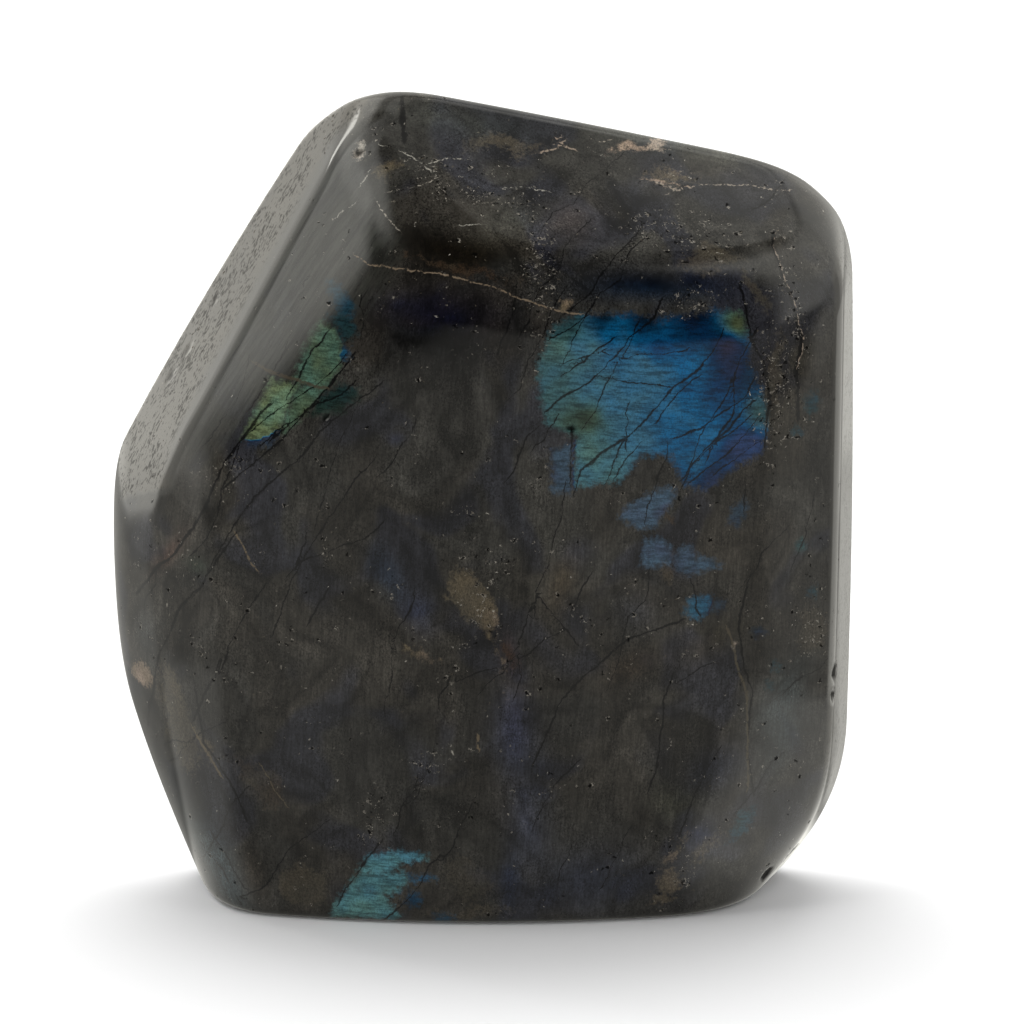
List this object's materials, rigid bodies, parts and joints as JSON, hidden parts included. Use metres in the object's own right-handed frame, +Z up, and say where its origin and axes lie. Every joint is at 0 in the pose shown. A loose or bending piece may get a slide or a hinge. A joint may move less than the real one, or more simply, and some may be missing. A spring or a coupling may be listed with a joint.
{
  "type": "polished labradorite freeform",
  "caption": "Standing polished stone with ground facets, rounded edges and a flat sawn base, dark grey with blue and teal colour flashes.",
  "frame": {"origin": "in the plane of the sawn base, under the middle of the stone's box", "axes": "+Z up, the way the stone stands; the broad front face with the colour flashes looks along -Y; +X is to the right of someone who looks at that face"},
  "size_m": [0.1316, 0.0536, 0.142],
  "materials": {
    "labradorite": "high polish"
  },
  "bodies": {
    "root": {"labradorite_freeform": "labradorite"}
  },
  "joints": []
}
